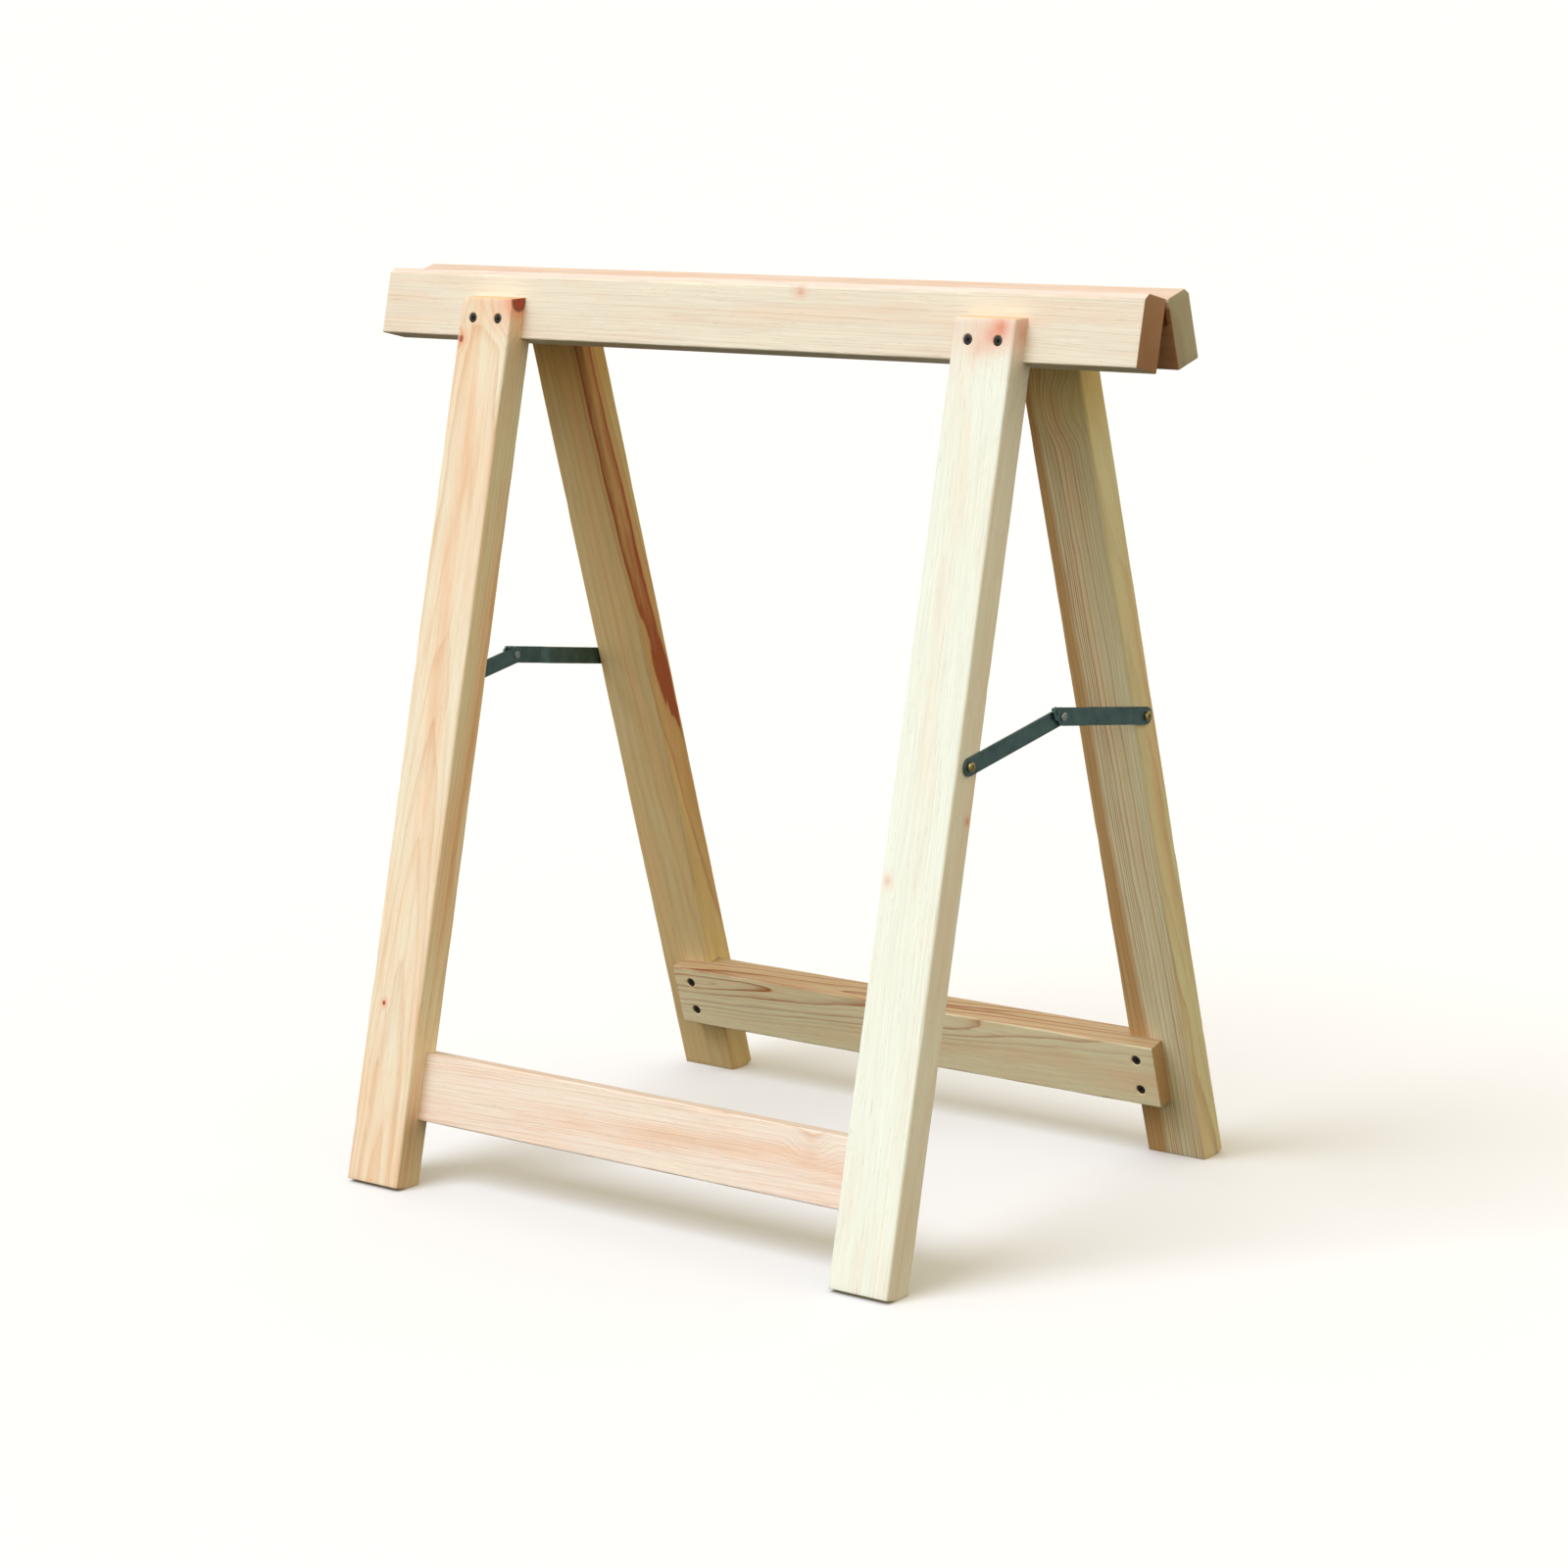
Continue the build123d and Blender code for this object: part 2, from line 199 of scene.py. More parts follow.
# place from a knot's middle to the end of its reach, colour, and how much of it
stain_profile = ((0.0, pine_stain, 1.0), (0.12, pine_stain, 0.9), (0.34, knot_glow, 0.5),
                 (0.6, knot_glow, 0.18), (1.0, knot_glow, 0.0))
knot_profile = ((0.0, knot_rim, 1.0), (0.05, knot_core, 1.0), (0.17, knot_core, 1.0),
                (0.22, knot_rim, 0.9), (0.28, knot_glow, 0.75), (0.5, knot_glow, 0.3),
                (1.0, knot_glow, 0.0))


def along_grain(tree, where, size, detail, roughness=0.5):
    """Noise drawn out along the grain, its patches size[0] mm long and size[1] mm wide."""
    length, width = (1 / (mm * MM) for mm in size)
    drawn_out = add(tree, "ShaderNodeVectorMath", {0: where, 1: (length, width, width)},
                    operation="MULTIPLY")
    return add(tree, "ShaderNodeTexNoise", {"Vector": drawn_out.outputs[0], "Scale": 1, "Detail": detail,
                                            "Roughness": roughness})


def pine(name, pith, drift, ring, bold, blush=0.4, sap=0.4, heart=0.0, wander=4.0, knots=(),
         calm=None, tone=pine_early, late_wood=pine_late, core=pine_heart, sawn=pine_end, painted_top_shade=None,
         painted_side_shade=None, shaded=None):
    """Planed, unfinished pine as a solid: silky pale wood with darker, slightly glossier ring lines.

    The rings lie about the tree's pith, outside the stick. pith is its (Y, Z) in mm from the
    stick's middle and drift its slope along the stick, which makes arches where a face cuts the
    rings flat and lines where it cuts them square. ring is the yearly growth in mm, bold how dark
    the late wood is, heart the radius in mm of the heartwood, which has the colour core, and wander
    how far in mm the fibres stray. blush and sap are the strength of rich and of white streaks. A
    knot is (X, Y, Z, radius, turn, redness), its branch running across the stick, turned from the
    width towards the thickness; one without redness lies deeper and only bends the grain, and one
    below hard_knot is a soft stain. calm gives the two radii in mm between which the rings fade.
    sawn is the colour of the ends. The last three arguments are filters over the colour, of the +Z
    face, the -Z face and the +X end. All three are painted shade: they darken and tint the +Z face,
    the top of a beam or stretcher, tint a shaded side face, and brown the upper end of a leg under
    the beam.
    """
    material, tree, shader = new_material(name, ior=1.5)
    here = add(tree, "ShaderNodeTexCoord")
    grain = here.outputs["Object"]

    stray = along_grain(tree, grain, stray_size, 2.0, 0.45)
    sway = 2 * wander * MM       # noise keeps within about a quarter of its mean
    strayed = add(tree, "ShaderNodeVectorMath", {0: stray.outputs["Color"], 1: (0, sway, sway), 2: grain},
                  operation="MULTIPLY_ADD").outputs[0]
    trunk = add(tree, "ShaderNodeMapping",
                {"Vector": strayed, "Location": (0, pith[0] * MM, pith[1] * MM),
                 "Rotation": (0, -drift[1], drift[0])}, vector_type="TEXTURE")
    across = add(tree, "ShaderNodeVectorMath", {0: trunk.outputs[0], 1: (0, 1, 1)}, operation="MULTIPLY")
    radius = add(tree, "ShaderNodeVectorMath", {0: across.outputs[0]}, operation="LENGTH").outputs["Value"]

    # the rings part round each knot
    reaches = []
    for x, y, z, size, turn, redness in knots:
        knot = add(tree, "ShaderNodeMapping",
                   {"Vector": strayed, "Location": (x * MM, y * MM, z * MM),
                    "Rotation": (radians(turn), 0, 0),
                    "Scale": (knot_stretch * size * MM, size * MM, 1.0)}, vector_type="TEXTURE")
        reach = add(tree, "ShaderNodeVectorMath", {0: knot.outputs[0]}, operation="LENGTH").outputs["Value"]
        swell = add(tree, "ShaderNodeMapRange",
                    {"Value": reach, "From Min": knot_close[0], "From Max": knot_close[1],
                     "To Min": knot_swell * size * MM, "To Max": 0.0}, interpolation_type="SMOOTHERSTEP")
        radius = add(tree, "ShaderNodeMath", {0: radius, 1: swell.outputs[0]}, operation="ADD").outputs[0]
        reaches.append((reach, redness))

    # years counted outwards from the pith, each with its own strength
    ripple = along_grain(tree, grain, ripple_size, 2.0)
    rings = add(tree, "ShaderNodeMath", {0: radius, 1: 1 / (ring * MM)}, operation="MULTIPLY")
    rippled = add(tree, "ShaderNodeMath", {0: ripple.outputs[0], 1: ring_wriggle, 2: rings.outputs[0]},
                  operation="MULTIPLY_ADD")
    growth = add(tree, "ShaderNodeTexNoise", {"W": rings.outputs[0], "Scale": 1 / spell, "Detail": 1.0},
                 noise_dimensions="1D")
    years = add(tree, "ShaderNodeMath", {0: growth.outputs[0], 1: year_spread, 2: rippled.outputs[0]},
                operation="MULTIPLY_ADD")
    season = add(tree, "ShaderNodeMath", {0: years.outputs[0]}, operation="FRACT")
    year = add(tree, "ShaderNodeMath", {0: years.outputs[0]}, operation="FLOOR")
    chance = add(tree, "ShaderNodeTexWhiteNoise", {"W": year.outputs[0]}, noise_dimensions="1D")
    vigour = add(tree, "ShaderNodeMapRange",
                 {"Value": chance.outputs["Value"], "To Min": 0.3, "To Max": 1.0})
    late = add(tree, "ShaderNodeValToRGB", {0: season.outputs[0]},
               stops=[(place, grey(dark)) for place, dark in year_profile])
    patch = along_grain(tree, grain, patch_size, 2.0)
    patchy = add(tree, "ShaderNodeMapRange", {"Value": patch.outputs[0], "From Min": 0.3, "From Max": 0.7,
                                              "To Min": 0.45, "To Max": 1.0})
    strengths = [vigour.outputs[0], patchy.outputs[0], bold]
    if calm:
        calmer = add(tree, "ShaderNodeMapRange",
                     {"Value": radius, "From Min": calm[0] * MM, "From Max": calm[1] * MM,
                      "To Min": 1.0, "To Max": calm_rest})
        strengths.append(calmer.outputs[0])
    line = late.outputs[0]
    for strength in strengths:
        line = add(tree, "ShaderNodeMath", {0: line, 1: strength}, operation="MULTIPLY").outputs[0]

    # early wood, its rich and white streaks and its heart, then the lines of late wood
    streak = along_grain(tree, strayed, streak_size, 3.0, 0.55)
    rich = add(tree, "ShaderNodeMapRange", {"Value": streak.outputs[0], "From Min": 0.46, "From Max": 0.72,
                                            "To Min": 0.0, "To Max": blush})
    white = add(tree, "ShaderNodeMapRange", {"Value": streak.outputs[0], "From Min": 0.30, "From Max": 0.47,
                                             "To Min": sap, "To Max": 0.0})
    coats = [(rich.outputs[0], pine_blush), (white.outputs[0], pine_sap)]
    if heart:
        inner = add(tree, "ShaderNodeMapRange",
                    {"Value": radius, "From Min": (heart - heart_edge) * MM, "From Max": heart * MM,
                     "To Min": heart_share, "To Max": 0.0})
        coats.append((inner.outputs[0], core))
    coats.append((line, late_wood))
    wood = linear(tone)
    for share, colour in coats:
        wood = add(tree, "ShaderNodeMix", {0: share, MIX_A: wood, MIX_B: linear(colour)},
                   data_type="RGBA").outputs[MIX_OUT]

    fibre = along_grain(tree, strayed, fibre_size, 3.0, 0.6)
    shade = add(tree, "ShaderNodeMapRange", {"Value": fibre.outputs[0], "From Min": 0.25, "From Max": 0.75,
                                             "To Min": 0.90, "To Max": 1.06})
    wood = add(tree, "ShaderNodeMix", {0: 1.0, MIX_A: wood, MIX_B: shade.outputs[0]}, data_type="RGBA",
               blend_type="MULTIPLY").outputs[MIX_OUT]
    duct = along_grain(tree, grain, duct_size, 1.0)
    resin = add(tree, "ShaderNodeMapRange", {"Value": duct.outputs[0], "From Min": 0.66, "From Max": 0.76,
                                             "To Min": 0.0, "To Max": 0.28})
    wood = add(tree, "ShaderNodeMix", {0: resin.outputs[0], MIX_A: wood, MIX_B: linear(pine_resin)},
               data_type="RGBA").outputs[MIX_OUT]

    for reach, redness in reaches:
        if not redness:
            continue
        profile = knot_profile if redness >= hard_knot else stain_profile
        spread = add(tree, "ShaderNodeMath", {0: reach, 1: 1 / knot_reach}, operation="MULTIPLY")
        face = add(tree, "ShaderNodeValToRGB", {0: spread.outputs[0]},
                   stops=[(place, linear(colour, share * redness)) for place, colour, share in profile])
        wood = add(tree, "ShaderNodeMix", {0: face.outputs["Alpha"], MIX_A: wood,
                                           MIX_B: face.outputs["Color"]}, data_type="RGBA").outputs[MIX_OUT]

    # painted shade: filters over whole faces and the upper end
    turned = add(tree, "ShaderNodeSeparateXYZ", {0: here.outputs["Normal"]})
    spot = add(tree, "ShaderNodeSeparateXYZ", {0: grain})
    filters = ((painted_top_shade, turned.outputs[2], face_turn, 1, "LINEAR"),
               (painted_side_shade, turned.outputs[2], face_turn, -1, "LINEAR"),
               (shaded, spot.outputs[0], upper_end, 1, "SMOOTHSTEP"))
    for tint, value, span, way, shape in filters:
        if tint:
            share = add(tree, "ShaderNodeMapRange",
                        {"Value": value, "From Min": way * span[0], "From Max": way * span[1]},
                        interpolation_type=shape)
            wood = add(tree, "ShaderNodeMix", {0: share.outputs[0], MIX_A: wood, MIX_B: linear(tint)},
                       data_type="RGBA", blend_type="MULTIPLY").outputs[MIX_OUT]

    # cut across, the fibres show their open ends
    crossed = add(tree, "ShaderNodeMath", {0: turned.outputs[0]}, operation="ABSOLUTE")
    cut_across = add(tree, "ShaderNodeMapRange", {"Value": crossed.outputs[0], "From Min": 0.6,
                                                  "From Max": 0.92, "To Min": 0.0, "To Max": end_share})
    wood = add(tree, "ShaderNodeMix", {0: cut_across.outputs[0], MIX_A: wood, MIX_B: linear(sawn)},
               data_type="RGBA").outputs[MIX_OUT]
    tree.links.new(wood, shader.inputs["Base Color"])

    gloss = add(tree, "ShaderNodeMapRange", {"Value": line, "To Min": 0.60, "To Max": 0.46})
    tree.links.new(gloss.outputs[0], shader.inputs["Roughness"])
    raised = add(tree, "ShaderNodeMath", {0: fibre.outputs[0], 1: 0.5, 2: line}, operation="MULTIPLY_ADD")
    relief = add(tree, "ShaderNodeBump", {"Height": raised.outputs[0], "Distance": 0.08 * MM,
                                          "Strength": 0.6})
    tree.links.new(relief.outputs[0], shader.inputs["Normal"])
    return material


# ---- metals ----

scuff_size = 0.714           # mm, coarser than real scuffs so that they show
scuff_bright = "#D9DFDB"     # bare metal
crystal_size = 0.667         # mm, coarser than a real crystal coat so that it shows
phosphate = "#14120F"
phosphate_rubbed = "#3A3631"


def plated_steel(name, tint, dull, roughness, cloud_size=16.7):
    """Plated strip or turned steel: a metal sheen, clouded by its passivation and finely scuffed.

    It goes from dull to tint in clouds of cloud_size mm, and is smoother where it has the tint.
    """
    material, tree, shader = new_material(name, metallic=1.0)
    here = add(tree, "ShaderNodeTexCoord").outputs["Object"]
    cloud = add(tree, "ShaderNodeTexNoise", {"Vector": here, "Scale": 1 / (cloud_size * MM), "Detail": 4.0,
                                             "Roughness": 0.6})
    spread = add(tree, "ShaderNodeMapRange", {"Value": cloud.outputs[0], "From Min": 0.3, "From Max": 0.7})
    colour = add(tree, "ShaderNodeMix", {0: spread.outputs[0], MIX_A: linear(dull), MIX_B: linear(tint)},
                 data_type="RGBA").outputs[MIX_OUT]
    scuffs = add(tree, "ShaderNodeTexNoise", {"Vector": here, "Scale": 1 / (scuff_size * MM),
                                              "Detail": 3.0})
    bright = add(tree, "ShaderNodeMapRange", {"Value": scuffs.outputs[0], "From Min": 0.62,
                                              "From Max": 0.75, "To Min": 0.0, "To Max": 0.12})
    colour = add(tree, "ShaderNodeMix", {0: bright.outputs[0], MIX_A: colour, MIX_B: linear(scuff_bright)},
                 data_type="RGBA").outputs[MIX_OUT]
    tree.links.new(colour, shader.inputs["Base Color"])
    rough = add(tree, "ShaderNodeMapRange", {"Value": cloud.outputs[0], "From Min": 0.3, "From Max": 0.7,
                                             "To Min": roughness + 0.08, "To Max": roughness - 0.06})
    tree.links.new(rough.outputs[0], shader.inputs["Roughness"])
    relief = add(tree, "ShaderNodeBump", {"Height": scuffs.outputs[0], "Distance": 0.03 * MM,
                                          "Strength": 0.35})
    tree.links.new(relief.outputs[0], shader.inputs["Normal"])
    return material


def phosphated_steel(name):
    """Hardened screw steel under a dull black crystal coat, rubbed grey in fine grains."""
    material, tree, shader = new_material(name, ior=1.5)
    here = add(tree, "ShaderNodeTexCoord").outputs["Object"]
    crystal = add(tree, "ShaderNodeTexNoise", {"Vector": here, "Scale": 1 / (crystal_size * MM),
                                               "Detail": 3.0})
    worn = add(tree, "ShaderNodeMapRange",
               {"Value": crystal.outputs[0], "From Min": 0.55, "From Max": 0.75})
    colour = add(tree, "ShaderNodeMix", {0: worn.outputs[0], MIX_A: linear(phosphate),
                                         MIX_B: linear(phosphate_rubbed)}, data_type="RGBA")
    tree.links.new(colour.outputs[MIX_OUT], shader.inputs["Base Color"])
    rough = add(tree, "ShaderNodeMapRange", {"Value": crystal.outputs[0], "To Min": 0.38, "To Max": 0.6})
    tree.links.new(rough.outputs[0], shader.inputs["Roughness"])
    relief = add(tree, "ShaderNodeBump", {"Height": crystal.outputs[0], "Distance": 0.02 * MM,
                                          "Strength": 0.5})
    tree.links.new(relief.outputs[0], shader.inputs["Normal"])
    return material


# ---- mesh work ----

def outline(corners, rounding, breaks=()):
    """Round a convex (Y, Z) section, anticlockwise: (point, outward normal, how much of a corner)."""
    count = len(corners)
    arcs = []
    for i, corner in enumerate(corners):
        here = Vector(corner)
        before = (Vector(corners[i - 1]) - here).normalized()
        after = (Vector(corners[(i + 1) % count]) - here).normalized()
        half = before.angle(after) / 2
        centre = here + (before + after).normalized() * rounding / sin(half)
        start = here + before * rounding / tan(half) - centre
        swing = pi - 2 * half
        steps = max(2, round(corner_facets * swing / (pi / 2)))
        arc = []
        for k in range(steps + 1):
            turned = Matrix.Rotation(swing * k / steps, 2) @ start
            arc.append((centre + turned, turned.normalized(), sin(pi * k / steps)))
        arcs.append(arc)
    points = []
    for i, arc in enumerate(arcs):
        points += arc
        start, end = arc[-1][0], arcs[(i + 1) % count][0][0]
        span = (end - start).length
        parts = max(1, round(span / skin_pitch))
        shares = [skin_hold / span] + [k / parts for k in range(1, parts)] + [1 - skin_hold / span]
        for y in breaks:
            if min(start.x, end.x) < y < max(start.x, end.x):
                shares = [s for s in shares if abs(start.lerp(end, s).x - y) > skin_pitch / 4]
                shares.append((y - start.x) / (end.x - start.x))
        points += [(start.lerp(end, s), arc[-1][1], 0.0) for s in sorted(shares)]
    return points


def dents(length, seed):
    """A few knocks on the long edges: (X, corner direction, depth, half length)."""
    pick = random.Random(seed)
    return [
        (pick.uniform(-length / 2, length / 2), Vector((pick.choice((-1, 1)), pick.choice((-1, 1)))),
         pick.uniform(*dent_depth), pick.uniform(*dent_half))
        for _ in range(dent_count)
    ]


def worn_point(x, point, normal, corner, seed, knocks):
    """Where a point of the skin lies after planing and handling."""
    place = Vector((x / wave_length, point.x / wave_width + seed, point.y / wave_width))
    depth = wave_depth * noise.noise(place)
    if corner:
        rub = noise.noise(Vector((x / wear_length, seed * 3.1 + normal.x, normal.y)))
        depth -= wear_depth * corner * max(0.0, wear_bias + rub)
        for middle, towards, deep, half in knocks:
            if towards.dot(normal) > 0.8:
                depth -= deep * corner * np.exp(-(((x - middle) / half) ** 2))
    return point + normal * depth


def stick_mesh(name, section, low_end, high_end, seed, crease=None):
    """Skin along X over a section, from low_end(y) to high_end(y), its ends rounded over.

    crease is the Y of a line across the low end, where its level part meets its square part.
    """
    bm = bmesh.new()
    length = high_end(0) - low_end(0)
    loops = max(8, round(length / skin_step))
    knocks = dents(length, seed)
    turns = [radians(a) for a in end_turns]
    ends = [(end_corner * (1 - sin(t)), end_corner * (1 - cos(t))) for t in turns]
    stations = [(0.0, inset, shift) for inset, shift in ends]
    stations += [(k / loops, 0.0, 0.0) for k in range(1, loops)]
    stations += [(1.0, inset, -shift) for inset, shift in reversed(ends)]
    rings = []
    for share, inset, shift in stations:
        ring = []
        for point, normal, corner in section:
            placed = point - normal * inset
            low, high = low_end(placed.x), high_end(placed.x)
            x = low + (high - low) * share + shift
            placed = worn_point(x, placed, normal, corner, seed, knocks)
            ring.append(bm.verts.new((x, placed.x, placed.y)))
        rings.append(ring)
    for ring, following in zip(rings, rings[1:]):
        for k in range(len(ring)):
            after = (k + 1) % len(ring)
            bm.faces.new((ring[k], ring[after], following[after], following[k]))
    foot = bm.faces.new(list(reversed(rings[0])))
    bm.faces.new(rings[-1])
    if crease is not None:
        on_crease = [v for v, s in zip(rings[0], section) if abs(s[0].x - crease) < 0.01 * MM]
        bmesh.utils.face_split(foot, on_crease[0], on_crease[-1])
    bmesh.ops.recalc_face_normals(bm, faces=bm.faces)
    mesh = bpy.data.meshes.new(name)
    bm.to_mesh(mesh)
    bm.free()
    return mesh


def lathe(bm, profile, place, segments=28):
    """Turns a (radius, height) profile, which starts and ends on the axis, about place's Z."""
    rings = []
    for radius, height in profile:
        if radius == 0:
            rings.append([bm.verts.new(place @ Vector((0, 0, height)))])
            continue
        angles = [2 * pi * k / segments for k in range(segments)]
        rings.append([bm.verts.new(place @ Vector((radius * cos(a), radius * sin(a), height)))
                      for a in angles])
    for one, two in zip(rings, rings[1:]):
        for k in range(segments):
            after = (k + 1) % segments
            corners = [one[k % len(one)], one[after % len(one)], two[after % len(two)], two[k % len(two)]]
            bm.faces.new(list(dict.fromkeys(corners)))


def block(bm, low, high, place):
    """A box between two corners, for a saw cut."""
    middle = (Vector(low) + Vector(high)) / 2
    size = Vector(high) - Vector(low)
    matrix = place @ Matrix.Translation(middle) @ Matrix.Diagonal((*size, 1))
    bmesh.ops.create_cube(bm, size=1, matrix=matrix)


def finish_bmesh(bm, name):
    bmesh.ops.recalc_face_normals(bm, faces=bm.faces)
    mesh = bpy.data.meshes.new(name)
    bm.to_mesh(mesh)
    bm.free()
    return mesh


def cut(piece, cutter_mesh):
    """Takes the cutter out of the piece for good."""
    cutter = bpy.data.objects.new("cutter", cutter_mesh)
    bpy.context.scene.collection.objects.link(cutter)
    bpy.context.view_layer.update()
    cutter.matrix_world = piece.matrix_world
    tool = piece.modifiers.new("cut", "BOOLEAN")
    tool.operation = "DIFFERENCE"
    tool.solver = "EXACT"
    tool.object = cutter
    shaped = bpy.data.meshes.new_from_object(piece.evaluated_get(bpy.context.evaluated_depsgraph_get()))
    piece.modifiers.clear()
    piece.data = shaped
    bpy.data.objects.remove(cutter)


def new_piece(name, mesh, place, body, slot_name, material, *stands_for):
    """Puts a mesh in the scene as a piece of the object."""
    piece = bpy.data.objects.new(name, mesh)
    bpy.context.scene.collection.objects.link(piece)
    piece.matrix_world = place
    mesh.materials.clear()
    mesh.materials.append(material)
    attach(piece, body)
    if stands_for:
        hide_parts(*stands_for)
    return piece


def smooth(mesh, angle=34):
    for face in mesh.polygons:
        face.use_smooth = True
    mesh.set_sharp_from_angle(angle=radians(angle))


# ---- fasteners ----

def facing(point, outward):
    """Place whose Z points out of the wood at a point."""
    return Matrix.Translation(point) @ Vector(outward).to_track_quat("Z", "Y").to_matrix().to_4x4()


def wood_screw_hole(length):
    """Countersink, flared towards the face, then the hole for the shank."""
    above, flare_r, neck_r, neck = 3 * MM, 5.6 * MM, 4.9 * MM, 1 * MM
    seat_r, seat_top = head_r + 0.15 * MM, 0.35 * MM
    cone = head_r - shank_r
    taper = 5 * MM
    return [(0, above), (flare_r, above), (neck_r, neck), (seat_r, seat_top), (seat_r, -countersink_rim),
            (shank_r + fit, -countersink_rim - cone), (shank_r + fit, taper - length), (0, -length - fit)]


def plain_hole(radius, depth, above=2 * MM):
    return [(0, above), (radius, above), (radius, -depth), (0, -depth - radius / 2)]


def hinge_screw_hole(length, above=2 * MM, taper=3 * MM):
    cone = hinge_head_r - hinge_shank_r
    return [(0, above), (hinge_head_r + fit, above), (hinge_head_r + fit, -countersink_rim),
            (hinge_shank_r + fit, -countersink_rim - cone), (hinge_shank_r + fit, taper - length),
            (0, -length - fit)]


def cross_recess(width, slot, depth, shrink=0.55, above=0.5 * MM):
    """Driver's cross, tapering as it goes in."""
    bm = bmesh.new()
    w, s = width / 2, slot / 2
    plus = [(w, -s), (w, s), (s, s), (s, w), (-s, w), (-s, s), (-w, s), (-w, -s), (-s, -s), (-s, -w),
            (s, -w), (s, -s)]
    mouth = [bm.verts.new((x, y, above)) for x, y in plus]
    floor = [bm.verts.new((x * shrink, y * shrink, -depth)) for x, y in plus]
    for k in range(len(plus)):
        after = (k + 1) % len(plus)
        bm.faces.new((mouth[k], mouth[after], floor[after], floor[k]))
    bm.faces.new(mouth)
    bm.faces.new(floor)
    return bm


def threaded_screw(name, head, length, shank, pitch, recess):
    """One skin from the head's profile down a threaded shank to the point."""
    segments = 24
    root = 0.68 * shank                     # radius at the bottom of the thread
    crest_half = 0.24                       # of the pitch
    plain_end = head[-1][1] - 2.5 * MM      # where the thread starts
    tip = 5 * shank                         # length of the point
    step = pitch / 6                        # between rings of points
    profile = [(r, z, 0.0) for r, z in head] + [(shank * 0.92, plain_end, 0.0)]
    z = plain_end - step
    while z > -length + step / 2:
        taper = min(1.0, (length + z) / tip)
        grip = min(1.0, (plain_end - z) / pitch) * taper
        profile.append((root * taper, z, grip))
        z -= step
    bm = bmesh.new()
    rings = []
    for radius, height, grip in profile:
        ring = []
        for k in range(segments):
            angle = 2 * pi * k / segments
            phase = (height / pitch - k / segments) % 1.0
            r = radius + (shank - root) * grip * max(0.0, 1 - abs(phase - 0.5) / crest_half)
            ring.append(bm.verts.new((r * cos(angle), r * sin(angle), height)))
        rings.append(ring)
    top = bm.verts.new((0, 0, head[0][1]))
    point = bm.verts.new((0, 0, -length))
    for k in range(segments):
        after = (k + 1) % segments
        bm.faces.new((top, rings[0][k], rings[0][after]))
        bm.faces.new((point, rings[-1][after], rings[-1][k]))
        for one, two in zip(rings, rings[1:]):
            bm.faces.new((one[k], two[k], two[after], one[after]))
    blank = bpy.data.objects.new(name, finish_bmesh(bm, name))
    bpy.context.scene.collection.objects.link(blank)
    cross = cross_recess(*recess)
    cross.transform(Matrix.Translation((0, 0, head[0][1])))
    cut(blank, finish_bmesh(cross, "recess"))
    mesh = blank.data
    bpy.data.objects.remove(blank)
    smooth(mesh, 40)
    return mesh


def countersunk_head(radius, shank):
    """Flat head with its edge rounded, and the cone below it."""
    land = 0.45 * MM
    return [(radius * 0.6, 0), (radius - 0.25 * MM, -0.02 * MM), (radius, -0.22 * MM), (radius, -land),
            (shank, -land - (radius - shank))]


def pan_head(radius, height, shank):
    """Domed head over its flat underside at zero."""
    crown = 1.3 * MM
    edge = 0.15 * MM
    dome = [radians(a) for a in (90, 68, 46, 24, 0)]
    curve = [(radius - crown + crown * cos(t), height - crown + crown * sin(t)) for t in dome]
    return curve + [(radius, edge), (radius - edge, 0), (shank, 0)]


# ---- the sticks ----

leg_box = {side: upright_box(f"{word}_right_leg", side) for side, word in words.items()}
beam_box = {side: upright_box(f"{word}_beam", side) for side, word in words.items()}
stretcher_box = {side: upright_box(f"{word}_stretcher", side) for side, word in words.items()}
leg_inner_y, leg_outer_y = leg_box[BACK][0].y, leg_box[BACK][1].y
leg_x = sum(v.x for v in leg_box[BACK]) / 2
leg_half = (leg_box[BACK][1].x - leg_box[BACK][0].x) / 2
beam_low, beam_high = beam_box[BACK]
bar_low, bar_high = stretcher_box[BACK]


def middle_of(box):
    return (box[0] + box[1]) / 2


def screws_on_legs(side):
    """Two side by side through the top of each leg: places in the upright frame, and their length."""
    low, high = upright_box(f"{words[side]}_leg_screws", side)
    reach = high.x - head_r - leg_x
    out = high.y if side == BACK else low.y
    z = (low.z + high.z) / 2
    spots = [facing((s * leg_x + d, out, z), (0, side, 0)) for s in (LEFT, RIGHT) for d in (-reach, reach)]
    return spots, high.y - low.y


def screws_on_stretcher(side):
    """Two one above the other through each end of the stretcher into the legs."""
    low, high = upright_box(f"{words[side]}_stretcher_screws", side)
    x = high.x - head_r
    inside = low.y if side == BACK else high.y
    levels = (low.z + head_r, high.z - head_r)
    spots = [facing((s * x, inside, z), (0, -side, 0)) for s in (LEFT, RIGHT) for z in levels]
    return spots, high.y - low.y


def screws_on_braces(side):
    """One through the end of each brace into the leg's side face."""
    low, high = upright_box(f"{words[side]}_brace_screws", side)
    centre = middle_of((low, high))
    under = high.x - brace_head_height
    spots = [facing((s * under, centre.y, centre.z), (s, 0, 0)) for s in (LEFT, RIGHT)]
    return spots, under - (leg_x + leg_half - brace_screw_bite)


def screws_on_hinges(side):
    """Two through each hinge leaf into the beam."""
    low, high = upright_box(f"{words[side]}_hinge_screws", side)
    leaf = middle_of(upright_box(f"right_hinge_{words[side]}_leaf", side))
    reach = high.x - hinge_head_r - leaf.x
    inside = low.y if side == BACK else high.y
    z = (low.z + high.z) / 2
    spots = [facing((s * leaf.x + d, inside, z), (0, -side, 0))
             for s in (LEFT, RIGHT) for d in (-reach, reach)]
    return spots, high.y - low.y


